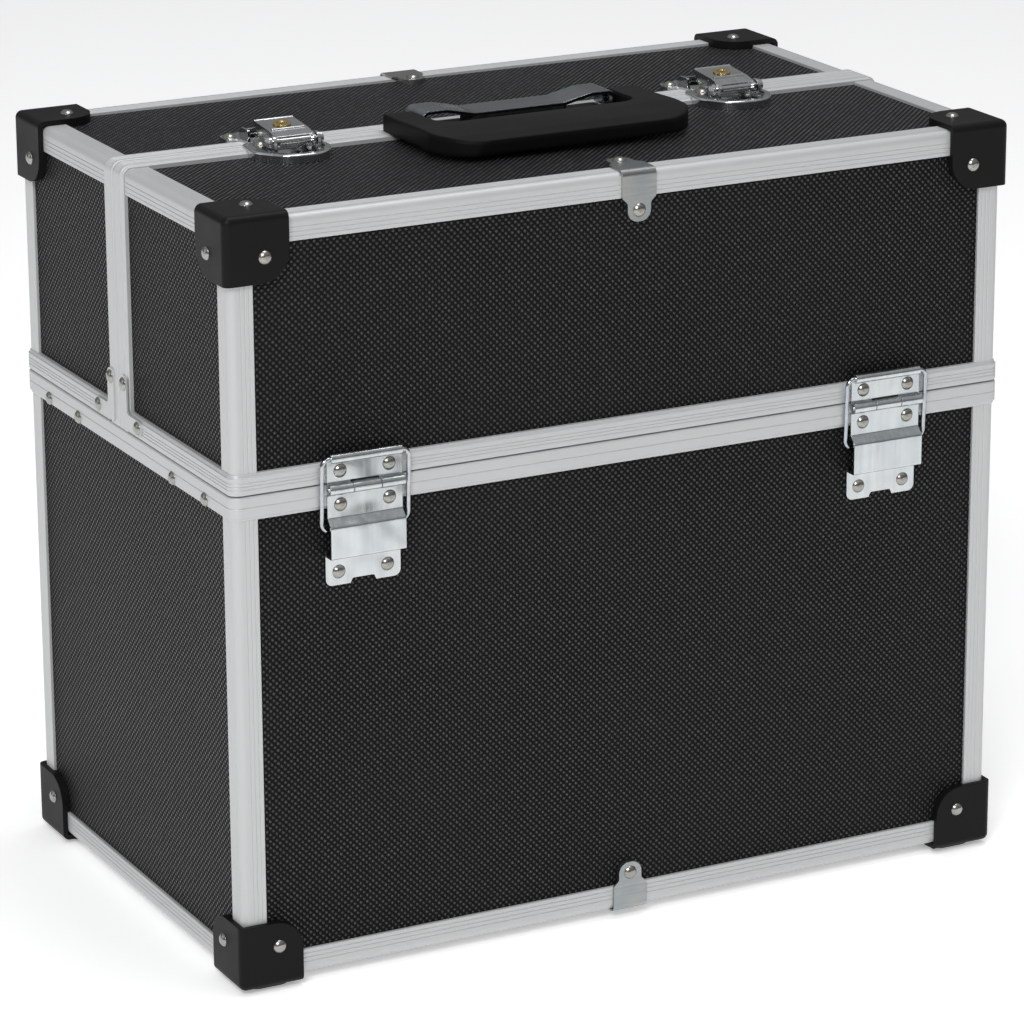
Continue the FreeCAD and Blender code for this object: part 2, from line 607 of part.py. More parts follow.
def lock_claw():
    """Draw hook about X=0, turned on its own pin between the lever's cheeks."""
    up = ROOF
    hook = [(CLAW_Y - 1.8, CLAW_Z + 0.7, 0.6), (CLAW_Y - 1.8, CLAW_Z - 1.8, 1.5), (2.5, up + 4.3, 0.8)]
    hook += [(5.2, up + 3.7, 0.6), (6.4, up + 4.7, 0.4), (5.4, up + 5.4, 0.3), (1.2, CLAW_Z - 1.0, 0.5)]
    arms = [prism(hook, on_x(x), V(2.2, 0, 0)) for x in (-6.4, 4.2)]
    bridge = box((-6.4, 6.4), (2.6, 5.2), (up + 3.95, up + 4.9))
    shaft = rod(1.0, V(-LEVER_HALF, CLAW_Y, CLAW_Z), V(LEVER_HALF, CLAW_Y, CLAW_Z))
    return fuse(arms + [bridge, shaft])


def key_cylinder():
    """Brass plug with a keyway, turning upright in the lever."""
    plug = Part.makeCylinder(KEY_R, 2.6, V(0, 0, -2.4))
    collar = Part.makeCylinder(KEY_R + 1.0, 0.6, V(0, 0, 0.1))
    collar = collar.cut(Part.makeCylinder(KEY_R - 0.5, 1, V(0, 0, 0.4)))
    keyway = box((-1.7, 1.7), (-0.45, 0.45), (-1.9, 2))
    key = fuse([plug, collar]).cut(keyway)
    key.Placement = FreeCAD.Placement(KEY_SEAT, FreeCAD.Rotation(V(0, 0, 1), KEY_LINE))
    return key


def strike_plate():
    """Rear plate about X=0: riveted ear, catch slot and two low upright flanges."""
    seat = ROOF + RAISE
    low = ROOF - SHEET
    front = REAR_SEAM + 0.3
    shape = [(-13.5, front, 1), (13.5, front, 1), (14, 20, 5), (7, 27, 6), (-9, 27, 5), (-13, 24.5, 3)]
    shape += [(-20.5, 24.5, 3.9), (-20.5, 15.5, 3.9), (-14, 13.5, 4)]
    plate = prism(shape, on_z(low), V(0, 0, seat + 1.0 - low))
    plate = plate.cut(box((-30, 30), (0, REAR_SEAM + SEAM_WIDTH + 0.2), (low - 1, seat)))
    plate = plate.cut(box((-7.4, 7.4), (REAR_SEAM + 1.6, REAR_SEAM + 4.4), (seat - 1, seat + 2)))
    flange = [(13.2, seat, 0), (14.0, ROOF + 5.6, 1.2), (21.5, ROOF + 5.6, 2.5), (24, seat, 0)]
    flanges = [prism(flange, on_x(x), V(1.2, 0, 0)) for x in (-10.6, 9.4)]
    bridge = box((-10.6, 10.6), (21.0, 22.2), (seat, ROOF + 4.6))
    return fuse([plate, bridge] + flanges)


STRIKE_SPOT = (V(-16.8, 19.6, ROOF + RAISE + 1.0), V(0, 0, 1))
DISH_SPOTS = [(V(x, -1.5, ROOF + 2.7), V(0, 0, 1)) for x in (-11.9, 11.9)]


def at_locks(shape):
    return [moved(shape, V(x, 0, 0)) for x in (-LOCK_X, LOCK_X)]


def lock_spots(spots):
    return [(point + V(x, 0, 0), normal) for x in (-LOCK_X, LOCK_X) for point, normal in spots]


# ---------------------------------------------------------------- carry handle
STRAP_HALF = 48.0
STRAP_Y = (-9.5, 8.0)
STRAP_SHEET = 1.5
STRAP_LOW = ROOF + 5.8                   # underside of the strap's middle
STRAP_HIGH = ROOF + 8.8                  # underside of its raised ends
GRIP_Y = -1.0                            # handle pivot
GRIP_Z = ROOF + 5.3
GRIP_HALF = 62.5
GRIP_FRONT = -65.0


def strap():
    """Sheet strap: flat middle, raised ends turned down to carry the handle's pins."""
    t = STRAP_SHEET
    high = STRAP_HIGH + t
    top = [(-STRAP_HALF, ROOF + 2.0, 0), (-STRAP_HALF, high, 3.2), (-36, high, 6), (-22, STRAP_LOW + t, 8)]
    top += [(22, STRAP_LOW + t, 8), (36, high, 6), (STRAP_HALF, high, 3.2), (STRAP_HALF, ROOF + 2.0, 0)]
    under = [(STRAP_HALF - t, ROOF + 2.0, 0), (STRAP_HALF - t, STRAP_HIGH, 1.7), (36.4, STRAP_HIGH, 6)]
    under += [(22.4, STRAP_LOW, 8), (-22.4, STRAP_LOW, 8), (-36.4, STRAP_HIGH, 6)]
    under += [(-STRAP_HALF + t, STRAP_HIGH, 1.7), (-STRAP_HALF + t, ROOF + 2.0, 0)]
    place = lambda u, v: V(HANDLE_X + u, STRAP_Y[0], v)
    sheet = prism(top + under, place, V(0, STRAP_Y[1] - STRAP_Y[0], 0))
    left = rod(2.1, V(-60, GRIP_Y, GRIP_Z), V(HANDLE_X - 40, GRIP_Y, GRIP_Z))
    right = rod(2.1, V(HANDLE_X + 40, GRIP_Y, GRIP_Z), V(60, GRIP_Y, GRIP_Z))
    return sheet.cut(Part.makeCompound([left, right]))


def strap_base():
    """Plastic base on the front lid's seam edge: a block under the strap's middle, a plate to its ends."""
    y = (STRAP_Y[0], FRONT_SEAM - 0.4)
    block = rounded_box((HANDLE_X - 24, HANDLE_X + 24), y, (ROOF + RAISE, STRAP_LOW), 2)
    plate = rounded_box((HANDLE_X - 43.5, HANDLE_X + 43.5), y, (ROOF + RAISE, ROOF + 2.5), 1)
    toe_y = (STRAP_Y[0], FRONT_SEAM - SEAM_WIDTH - 0.2)
    toe = rounded_box((HANDLE_X - 43.5, HANDLE_X + 43.5), toe_y, (ROOF - SHEET, ROOF + RAISE), 1)
    return fuse([block, plate, toe])


STRAP_SPOTS = [(V(HANDLE_X + x, -7.0, ROOF - SHEET - BOARD), V(0, 0, -1)) for x in (-16, 16)]
STRAP_GRIP = STRAP_LOW + 1.0 - (ROOF - SHEET - BOARD)


def grip():
    """Moulded handle, folded down in front of its pivots: a broad bar on two arms."""
    half = GRIP_HALF
    inner = STRAP_HALF + 1.0
    rear = GRIP_Y + 4.0
    low = ROOF + 1.6
    plan = [(-half, rear, 3), (-half - 0.6, GRIP_FRONT, 21), (half + 0.6, GRIP_FRONT, 21), (half, rear, 3)]
    plan += [(inner, rear, 0), (inner, -31, 10), (-inner, -31, 10), (-inner, rear, 0)]
    body = prism([(HANDLE_X + x, y, r) for x, y, r in plan], on_z(low), V(0, 0, 9))
    crown = [(rear + 1, low - 1, 0), (rear + 1, GRIP_Z + 3.8, 0), (-14, ROOF + 9.2, 12),
             (-38, ROOF + 10.2, 30)]
    crown += [(-56, ROOF + 9.5, 20), (GRIP_FRONT, ROOF + 8.2, 0), (GRIP_FRONT + 1.6, low - 1, 0)]
    envelope = prism(crown, on_x(HANDLE_X - 80), V(160, 0, 0))
    nose = [(rear + 1, low - 5, 0), (rear + 1, low + 20, 0), (GRIP_Y, low + 20, 0), (GRIP_Y, low - 5, 0)]
    round_end = prism(nose, on_x(HANDLE_X - 80), V(160, 0, 0))
    round_end = round_end.cut(rod(3.9, V(-90, GRIP_Y, GRIP_Z), V(90, GRIP_Y, GRIP_Z)))
    body = body.common(envelope).cut(round_end)
    return body.cut(Part.makeCompound(pivot_pins(2.0)))


def pivot_pins(radius):
    """Headed pins moulded into the arms and running in the strap's turned-down ends."""
    pins = []
    for side in (-1, 1):
        head = V(HANDLE_X + side * (STRAP_HALF - 3.2), GRIP_Y, GRIP_Z)
        neck = V(HANDLE_X + side * (STRAP_HALF - 1.7), GRIP_Y, GRIP_Z)
        tip = V(HANDLE_X + side * (STRAP_HALF + 11), GRIP_Y, GRIP_Z)
        pins.append(fuse([rod(2.6, head, neck), rod(radius, head, tip)]))
    return pins


# ---------------------------------------------------------------- tray bars and trays
BAR_X = (179.2, 180.7)


def bar_direction(start):
    """Closed lean of a front bar: towards the middle and up."""
    angle = math.radians(start)
    return V(0, math.cos(angle), math.sin(angle))


def tray_bars(pivot, start):
    """Left and right bar with their riveted tray pivots, standing at -pivot."""
    foot = V(0, -pivot, ARM_Z)
    lean = bar_direction(start)
    tip = foot + lean * ARM_REACH
    side = V(0, -lean.z, lean.y) * ARM_HALF
    ends = [foot - lean * ARM_HALF - side, tip + lean * ARM_HALF - side]
    ends += [tip + lean * ARM_HALF + side, foot - lean * ARM_HALF + side]
    corners = [(p.y, p.z, ARM_HALF - 0.05) for p in ends]
    bar = prism(corners, on_x(-BAR_X[1]), V(BAR_X[1] - BAR_X[0], 0, 0))
    bar = bar.cut(rod(RUN_R, foot + V(-190, 0, 0), foot + V(-170, 0, 0)))
    pivots = [foot + lean * (ARM_REACH * part) for part in (0.5, 1.0)]
    bar = bar.cut(Part.makeCompound([rod(HOLE_R, p + V(-190, 0, 0), p + V(-170, 0, 0)) for p in pivots]))
    return both(bar) + [copy for p in pivots for copy in both(tray_pivot(p))]


def tray_pivot(point):
    """Shouldered rivet through a bar and a tray's end wall, on the left side."""
    steps = [(3.2, -BAR_X[1] - 0.6, -BAR_X[1]), (SHANK_R, -BAR_X[1], -BAR_X[0])]
    steps += [(3.0, -BAR_X[0], -TRAY_HALF - 0.2), (SHANK_R, -TRAY_HALF - 0.2, -TRAY_HALF + TRAY_WALL + 0.2)]
    steps += [(2.6, -TRAY_HALF + TRAY_WALL + 0.2, -TRAY_HALF + TRAY_WALL + 1.0)]
    return fuse([rod(r, V(a, point.y, point.z), V(b, point.y, point.z)) for r, a, b in steps])


def tray(y, start, part):
    """Open tray hung on both bars at this part of their reach."""
    lean = bar_direction(start)
    pivots = [V(0, -out, ARM_Z) + lean * (ARM_REACH * part) for out in (ARM_OUT, ARM_IN)]
    low = pivots[0].z - TRAY_UNDER
    high = pivots[0].z + TRAY_OVER
    wall = TRAY_WALL
    shell = rounded_box((-TRAY_HALF, TRAY_HALF), y, (low, high), 2.8)
    inner_y = (y[0] + wall, y[1] - wall)
    shell = shell.cut(rounded_box((-TRAY_HALF + wall, TRAY_HALF - wall), inner_y, (low + 2.0, high + 1), 1.0))
    holes = [rod(RUN_R, p + V(-190, 0, 0), p + V(190, 0, 0)) for p in pivots]
    return shell.cut(Part.makeCompound(holes))


def arm_rivets():
    """Rivets that carry the bars on the base's sides, dome outside and flat head inside."""
    rivets = []
    for y in (-ARM_OUT, -ARM_IN):
        shank_end = RIM_X - BAR_X[0] + 0.15
        dome = rivet(V(-RIM_X, y, ARM_Z), V(-1, 0, 0), shank_end)
        inner = rod(3.2, V(-BAR_X[0] + 0.15, y, ARM_Z), V(-BAR_X[0] + 0.95, y, ARM_Z))
        rivets.append(fuse([dome, inner]))
    return [copy for shape in rivets for copy in four(shape)]


def arm_spots():
    left = [(V(-RIM_X, y, ARM_Z), V(-1, 0, 0)) for y in (-ARM_OUT, -ARM_IN)]
    return mirror_spots(left, "xy")


# ---------------------------------------------------------------- base
def base_box():
    """The lower box, down to its feet."""
    spots = mirror_spots(corner_spots(False), "xy")
    leaves = leaf_spots(PARTING - 9.2, LEAF_OUT) + leaf_spots(PARTING - 39.7, FOOT_FACE)
    spots += mirror_spots(leaves + clip_spots(0.5, False), "y")
    board_top = BASE_TOP - WEB
    floor_top = FLOOR + SHEET + BOARD
    clear = FLANGE + 0.2
    rim_low = BASE_TOP - BASE_RIM
    long_edge = edge_bar(V(-SIDE + clear, -FACE, FLOOR), V(0, 1, 0), V(0, 0, 1), V(2 * (SIDE - clear), 0, 0))
    side_edge = edge_bar(V(-SIDE, -FACE + clear, FLOOR), V(1, 0, 0), V(0, 0, 1), V(0, 2 * (FACE - clear), 0))
    post = edge_bar(V(-SIDE, -FACE, FLOOR + clear), V(1, 0, 0), V(0, 1, 0), V(0, 0, rim_low - FLOOR - clear))
    half_rim = level_rim(BASE_RIM, 1, BASE_TOP, -1, RIM_Y, 0)
    sides = [fuse([half, flip(half, "y")]) for half in half_rim[1:]]
    leaf = hinge_pair(lower_leaf())
    side_board = box((-BOARD_X, -INSIDE_X), (-BOARD_Y, BOARD_Y), (floor_top, board_top))
    long_board = box((-INSIDE_X, INSIDE_X), (-BOARD_Y, -INSIDE_Y), (floor_top, board_top))
    parts = {
        "bottom_panel": [box((-BOARD_X, BOARD_X), (-BOARD_Y, BOARD_Y), (FLOOR + SHEET, floor_top))],
        "base_front_panel": [long_board],
        "base_rear_panel": [flip(long_board, "y")],
        "base_side_panels": both(side_board.cut(half_rim[0]).cut(flip(half_rim[0], "y"))),
        "base_bottom_profiles": both(long_edge, "y") + both(side_edge),
        "base_corner_profiles": four(post),
        "base_rim": both(half_rim[0], "y") + sides,
        "base_protectors": four(at_corner(protector(True), False)),
        "base_edge_clips": both(edge_clip(0.5, False), "y"),
        "front_hinge_lower_leaves": leaf,
        "rear_hinge_lower_leaves": [flip(shape, "y") for shape in leaf],
    }
    holes = spots + arm_spots()
    parts = {name: [drill(shape, holes) for shape in shapes] for name, shapes in parts.items()}
    parts["base_rivets"] = board_rivets(spots)
    parts["arm_pivot_rivets"] = arm_rivets()
    parts["hinge_pins"] = [copy for pin in hinge_pair(hinge_pin()) for copy in both(pin, "y")]
    parts["base_lining"] = lining(floor_top)
    return parts


def lining(floor_top):
    """Foam floor mat and thin wall lining of the base."""
    skin = 0.8
    mat = box((-INSIDE_X, INSIDE_X), (-INSIDE_Y, INSIDE_Y), (floor_top, floor_top + 3))
    wall_z = (floor_top + 3, ARM_Z - 8)
    long_wall = box((-INSIDE_X, INSIDE_X), (-INSIDE_Y, -INSIDE_Y + skin), wall_z)
    side_wall = box((-INSIDE_X, -INSIDE_X + skin), (-INSIDE_Y + skin, INSIDE_Y - skin), wall_z)
    return [mat] + both(long_wall, "y") + both(side_wall)


# ---------------------------------------------------------------- assembly
def front_parts():
    """The front lid half with the locks' dishes and the carry handle's mounting."""
    lid = lid_half(FRONT_SEAM, 4.0)
    dishes = lock_spots(DISH_SPOTS)
    lid["rivets"] += board_rivets(dishes) + [rivet(p, n, STRAP_GRIP) for p, n in STRAP_SPOTS]
    lid["lock_plates"] = [drill(shape, dishes) for shape in at_locks(lock_dish())]
    lid["lock_pins"] = at_locks(lock_pin())
    for name in ("top_panel", "seam_profile"):
        lid[name] = [drill(shape, dishes + STRAP_SPOTS) for shape in lid[name]]
    named = {"front_lid_" + name: shapes for name, shapes in lid.items()}
    named["handle_strap"] = [drill(strap(), STRAP_SPOTS, SHANK_R, STRAP_GRIP)]
    named["handle_base"] = [drill(strap_base(), STRAP_SPOTS)]
    return named


def rear_parts():
    """The rear lid half, made like the front one and turned round, with the locks' strike plates."""
    lid = {name: [flip(s, "y") for s in shapes] for name, shapes in lid_half(-REAR_SEAM, 0.0).items()}
    strikes = lock_spots([STRIKE_SPOT])
    lid["rivets"] += board_rivets(strikes)
    lid["strike_plates"] = [drill(shape, strikes) for shape in at_locks(strike_plate())]
    lid["top_panel"] = [drill(shape, strikes) for shape in lid["top_panel"]]
    return {"rear_lid_" + name: shapes for name, shapes in lid.items()}


def moving_parts():
    """Levers, claws, key plugs, the handle, and the bars and trays of both halves."""
    parts = {"handle_grip": [grip()], "handle_pins": pivot_pins(2.0)}
    for side, x in (("left", -LOCK_X), ("right", LOCK_X)):
        parts[side + "_lock_lever"] = [moved(lock_lever(), V(x, 0, 0))]
        parts[side + "_lock_claw"] = [moved(lock_claw(), V(x, 0, 0))]
        parts[side + "_key_cylinder"] = [moved(key_cylinder(), V(x, 0, 0))]
    for name, pivot in (("outer", ARM_OUT), ("inner", ARM_IN)):
        parts["front_" + name + "_arms"] = tray_bars(pivot, FRONT_START)
        parts["rear_" + name + "_arms"] = [flip(s, "y") for s in tray_bars(pivot, REAR_START)]
    for name, part in (("lower", 0.5), ("upper", 1.0)):
        parts["front_" + name + "_tray"] = [tray((-98.0, 1.5), FRONT_START, part)]
        parts["rear_" + name + "_tray"] = [flip(tray((-98.0, -8.0), REAR_START, part), "y")]
    return parts


def write(parts):
    os.makedirs("parts", exist_ok=True)
    for name, shapes in sorted(parts.items()):
        solids = [solid for shape in shapes for solid in shape.Solids]
        whole = solids[0] if len(solids) == 1 else Part.makeCompound(solids)
        whole.exportStep("parts/" + name + ".step")
        volume = sum(solid.Volume for solid in solids)
        print(name, len(solids), "solids", round(volume), "mm3", "valid" if whole.isValid() else "NOT VALID")


write({**base_box(), **front_parts(), **rear_parts(), **moving_parts()})
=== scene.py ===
import json
import math

import bmesh
import bpy
from mathutils import Matrix, Vector, noise


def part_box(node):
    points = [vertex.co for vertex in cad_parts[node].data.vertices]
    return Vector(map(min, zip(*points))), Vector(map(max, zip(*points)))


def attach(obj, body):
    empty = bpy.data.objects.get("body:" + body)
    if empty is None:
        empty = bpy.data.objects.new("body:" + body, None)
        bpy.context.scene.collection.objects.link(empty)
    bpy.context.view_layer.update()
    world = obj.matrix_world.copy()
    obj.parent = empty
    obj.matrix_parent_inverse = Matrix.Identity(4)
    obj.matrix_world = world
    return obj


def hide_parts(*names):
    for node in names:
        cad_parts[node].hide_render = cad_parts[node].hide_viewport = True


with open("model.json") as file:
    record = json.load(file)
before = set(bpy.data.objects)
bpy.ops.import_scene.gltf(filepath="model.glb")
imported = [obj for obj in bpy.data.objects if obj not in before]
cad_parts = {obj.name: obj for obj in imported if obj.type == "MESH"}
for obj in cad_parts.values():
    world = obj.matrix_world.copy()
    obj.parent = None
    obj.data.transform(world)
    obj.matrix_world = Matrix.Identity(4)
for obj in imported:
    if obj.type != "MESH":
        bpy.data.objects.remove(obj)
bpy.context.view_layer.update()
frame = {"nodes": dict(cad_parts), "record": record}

# Makeup train case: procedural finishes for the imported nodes, the base's soft lining, and the
# floor, light and camera. Metres, in the CAD frame: +X along the width, +Y front to rear, +Z up,
# floor at z = 0.

SCENE = bpy.context.scene

SIDE, FACE = 0.1875, 0.113               # half width and half depth of the aluminium frame
BAR = 0.0118                             # visible width of a frame bar, and a little over
SEAM_Y, SEAM_HALF = 0.0045, 0.0108       # middle and half width of the pair of bars between the lids
RIM_TOP = 0.2336                         # top of the lids' rims, and a little over
MIDDLE = Vector((0, 0, 0.1727))          # centre of the case
PITCH = 0.00213                          # pitch of the panels' raised dots, on the diagonal
SQUARE_ON = 0.6                          # a face looks along an axis where its normal has more than this


# ---------------------------------------------------------------- building materials
class Finish:
    """A procedural material: one Principled shader and the nodes that feed it."""

    def __init__(self, name, colour, rough, metal=0.0, edge=0.0, **sockets):
        self.material = bpy.data.materials.new(name)
        self.material.use_nodes = True
        self.tree = self.material.node_tree
        self.shader = self.tree.nodes["Principled BSDF"]
        self.coords = self.tree.nodes.new("ShaderNodeTexCoord")
        self.place = self.coords.outputs["Object"]
        self.colour = colour
        self.edge = edge
        self.set(self.shader, {"Base Color": (*colour, 1), "Roughness": rough, "Metallic": metal})
        self.set(self.shader, {key.replace("_", " "): value for key, value in sockets.items()})

    def set(self, node, values):
        """Link or fill a node's inputs, by name, or by number where a name is used twice."""
        for key, value in values.items():
            if isinstance(value, bpy.types.NodeSocket):
                self.tree.links.new(value, node.inputs[key])
            else:
                node.inputs[key].default_value = value

    def add(self, kind, values, output=0, **settings):
        node = self.tree.nodes.new("ShaderNode" + kind)
        for key, value in settings.items():
            setattr(node, key, value)
        self.set(node, values)
        return node.outputs[output]

    def math(self, operation, a, b=0.0, c=0.0):
        return self.add("Math", {0: a, 1: b, 2: c}, operation=operation)

    def mix(self, factor, a, b):
        return self.add("Mix", {0: factor, 2: a, 3: b})

    def blend(self, factor, a, b):
        """Colour mix of two RGB triples or sockets."""
        a, b = (v if isinstance(v, bpy.types.NodeSocket) else (*v, 1) for v in (a, b))
        return self.add("Mix", {0: factor, 6: a, 7: b}, 2, data_type="RGBA")

    def range(self, value, low, high, out_low=0.0, out_high=1.0, smooth=False):
        kind = "SMOOTHSTEP" if smooth else "LINEAR"
        values = {0: value, 1: low, 2: high, 3: out_low, 4: out_high}
        return self.add("MapRange", values, interpolation_type=kind)

    def noise(self, scale, detail=3.0, stretch=(1, 1, 1), rough=0.55):
        spot = self.add("Mapping", {0: self.place, 3: stretch})
        values = {"Vector": spot, "Scale": scale, "Detail": detail, "Roughness": rough}
        return self.add("TexNoise", values)

    def axes(self, socket):
        split = self.tree.nodes.new("ShaderNodeSeparateXYZ")
        self.tree.links.new(socket, split.inputs[0])
        return split.outputs

    def roughen(self, factor, low, high):
        """Vary the roughness from low to high over the middle of a noise's range."""
        self.set(self.shader, {"Roughness": self.range(factor, 0.3, 0.7, low, high)})

    def tint(self, factor, low, high):
        """Vary the base colour between two multiples of it."""
        ends = [tuple(c * k for c in self.colour) for k in (low, high)]
        self.set(self.shader, {"Base Color": self.blend(factor, *ends)})

    def bump(self, height, distance, strength=1.0):
        """Relief over the whole surface; edge is the radius its sharp edges are rounded to."""
        values = {"Height": height, "Distance": distance, "Strength": strength}
        if self.edge:
            values["Normal"] = self.add("Bevel", {"Radius": self.edge}, samples=4)
        self.set(self.shader, {"Normal": self.add("Bump", values)})


def panel_finish():
    """Black ABS skin with staggered raised dots outside, their tips painted bright as highlights, felt
    lining on the inner faces.
    """
    m = Finish("black_abs_panel", (0.014, 0.0145, 0.0155), 0.4)
    normal = m.axes(m.coords.outputs["Normal"])
    place = m.axes(m.place)
    on_x = m.math("GREATER_THAN", m.math("ABSOLUTE", normal[0]), SQUARE_ON)
    on_z = m.math("GREATER_THAN", m.math("ABSOLUTE", normal[2]), SQUARE_ON)

    # Dots in a square grid turned by 45 degrees, flat on whichever way the face looks.
    u = m.mix(on_x, place[0], place[1])
    v = m.mix(on_z, place[2], place[1])
    flat = m.add("CombineXYZ", {0: u, 1: v, 2: 0.0})
    turned = m.add("Mapping", {0: flat, 2: (0, 0, math.radians(45))})
    cells = {"Vector": turned, "Scale": 1 / PITCH, "Randomness": 0.0}
    distance = m.add("TexVoronoi", cells, voronoi_dimensions="2D", feature="F1")
    # Random value for each dot, which sets the strength of its painted glint.
    glint_cell = m.axes(m.add("TexVoronoi", cells, 1, voronoi_dimensions="2D", feature="F1"))[0]
    dot = m.range(distance, 0.46, 0.14, smooth=True)

    # The lining side of each board is the one that looks back at the middle of the case.
    centred = m.add("VectorMath", {0: m.place, 1: MIDDLE}, operation="SUBTRACT")
    pair = {0: centred, 1: m.coords.outputs["Normal"]}
    inside = m.math("LESS_THAN", m.add("VectorMath", pair, 1, operation="DOT_PRODUCT"), 0.0)

    # Painted highlights: each dot tip is painted bright, with its own random painted glint strength. The
    # dots on the top are painted brighter than those on the walls, standing in for light.
    cloud = m.noise(9.0, 4.0)
    # Painted light: dots on the top are painted 2.9 times as bright, those on the left and right walls 0.66
    # times and those on the front and back 0.93 times.
    painted_face_light = m.mix(on_z, m.mix(on_x, 0.93, 0.66), 2.9)
    painted_glint = m.math("MULTIPLY", m.range(m.math("POWER", glint_cell, 3.0), 0.0, 1.0, 0.7, 1.9), painted_face_light)
    # Painted light: the valleys on the left and right walls are painted lighter than those on the front,
    # back and top.
    valley_painted_side_light = m.blend(on_x, (0.0028, 0.0029, 0.0031), (0.007, 0.0072, 0.0076))
    # Painted highlight: the dot tip colour stands in for the gloss highlight on each raised dot.
    painted_dot_highlight = m.add("VectorMath", {0: (0.027, 0.028, 0.0292), 3: painted_glint}, operation="SCALE")
    skin = m.blend(dot, valley_painted_side_light, painted_dot_highlight)
    skin = m.blend(m.range(cloud, 0.35, 0.65, 0.0, 0.2), skin, (0.014, 0.014, 0.0136))

    fuzz = m.noise(1400.0, 5.0)
    felt = m.blend(fuzz, (0.006, 0.006, 0.0065), (0.03, 0.03, 0.032))
    m.set(m.shader, {"Base Color": m.blend(inside, skin, felt)})
    gloss = m.mix(dot, 0.7, m.range(cloud, 0.3, 0.7, 0.22, 0.3))
    shine = m.mix(inside, m.mix(dot, 0.12, 0.62), 0.2)
    m.set(m.shader, {"Roughness": m.mix(inside, gloss, 0.95), "Specular IOR Level": shine})
    grit = m.noise(2600.0, 2.0)
    m.bump(m.mix(inside, m.math("MULTIPLY_ADD", grit, 0.08, dot), fuzz), 0.0011)
    return m.material


def aluminium_finish():
    """Satin anodised extrusions: fine draw lines along each bar, smudges and a soft sheen."""
    m = Finish("satin_aluminium", (0.543, 0.55, 0.551), 0.44, 0.35)
    x, y, z = m.axes(m.place)

    # Which way a bar runs: along X between the ends, else along Y, or up at the corners and seam.
    between = m.math("LESS_THAN", m.math("ABSOLUTE", x), SIDE - BAR)
    seam = m.math("LESS_THAN", m.math("ABSOLUTE", m.math("SUBTRACT", y, SEAM_Y)), SEAM_HALF)
    upright = m.math("MULTIPLY", seam, m.math("GREATER_THAN", z, RIM_TOP))
    short = m.math("LESS_THAN", m.math("ABSOLUTE", y), FACE - BAR)
    level = m.math("MULTIPLY", short, m.math("SUBTRACT", 1.0, upright))

    # The noise is stretched along the bar, by a coarse scale along it and a fine one across it.
    fine, coarse = 5200.0, 55.0
    along_x = m.mix(between, fine, coarse)
    side_y = m.mix(level, fine, coarse)
    along_y = m.mix(between, side_y, fine)
    along_z = m.mix(between, m.mix(level, coarse, fine), fine)
    stretch = m.add("CombineXYZ", {0: along_x, 1: along_y, 2: along_z})
    drawn = m.add("VectorMath", {0: m.place, 1: stretch}, operation="MULTIPLY")
    lines = m.add("TexNoise", {"Vector": drawn, "Scale": 1.0, "Detail": 3.0})
    smudge = m.noise(34.0, 5.0)
    m.tint(m.mix(0.4, lines, smudge), 0.93, 1.06)
    m.roughen(m.mix(0.5, lines, smudge), 0.4, 0.52)
    m.bump(lines, 0.00003, 0.5)
    return m.material


def plastic_finish(name, colour, rough, grain, depth, edge, shine=0.12):
    """Moulded plastic with a fine spark-eroded grain, worn a little smoother in patches."""
    m = Finish(name, colour, rough, edge=edge, Specular_IOR_Level=shine)
    cloud = m.noise(22.0, 5.0)
    texture = m.noise(grain, 3.0, rough=0.65)
    m.tint(m.mix(0.35, cloud, texture), 0.72, 1.45)
    m.roughen(cloud, rough - 0.06, rough + 0.08)
    m.bump(texture, depth, 0.7)
    return m.material


def plated_finish(name, colour, low, high, stretch=(1, 1, 1), scale=420.0, cast=(0.86, 0.93, 1.0),
                  edge=0.0003, wave=0.0):
    """Plated or brushed sheet: faint rolling marks, a cloudy cast and haze, uneven by wave metres."""
    m = Finish(name, colour, low, 1.0, edge=edge)
    marks = m.noise(scale, 4.0, stretch)
    cloud = m.noise(60.0, 4.0)
    tinted = tuple(a * b for a, b in zip(colour, cast))
    base = m.blend(m.range(cloud, 0.4, 0.62), colour, tinted)
    shade = m.range(marks, 0.3, 0.7, 0.86, 1.06)
    m.set(m.shader, {"Base Color": m.add("VectorMath", {0: base, 3: shade}, operation="SCALE")})
    m.roughen(m.mix(0.5, marks, cloud), low, high)
    scratches = m.math("MULTIPLY", marks, 0.00001)
    m.bump(m.math("MULTIPLY_ADD", m.noise(55.0, 1.0), wave, scratches), 1.0)
    return m.material


def foam_finish():
    """Black velvet-faced foam lining with a fine nap."""
    m = Finish("lining_velvet", (0.016, 0.016, 0.018), 0.92, Sheen_Weight=0.35, Sheen_Roughness=0.45)
    nap = m.noise(1500.0, 5.0)
    cloud = m.noise(38.0, 4.0)
    m.tint(m.mix(0.5, nap, cloud), 0.5, 1.8)
    m.roughen(nap, 0.86, 0.98)
    m.bump(nap, 0.0002, 0.8)
    return m.material


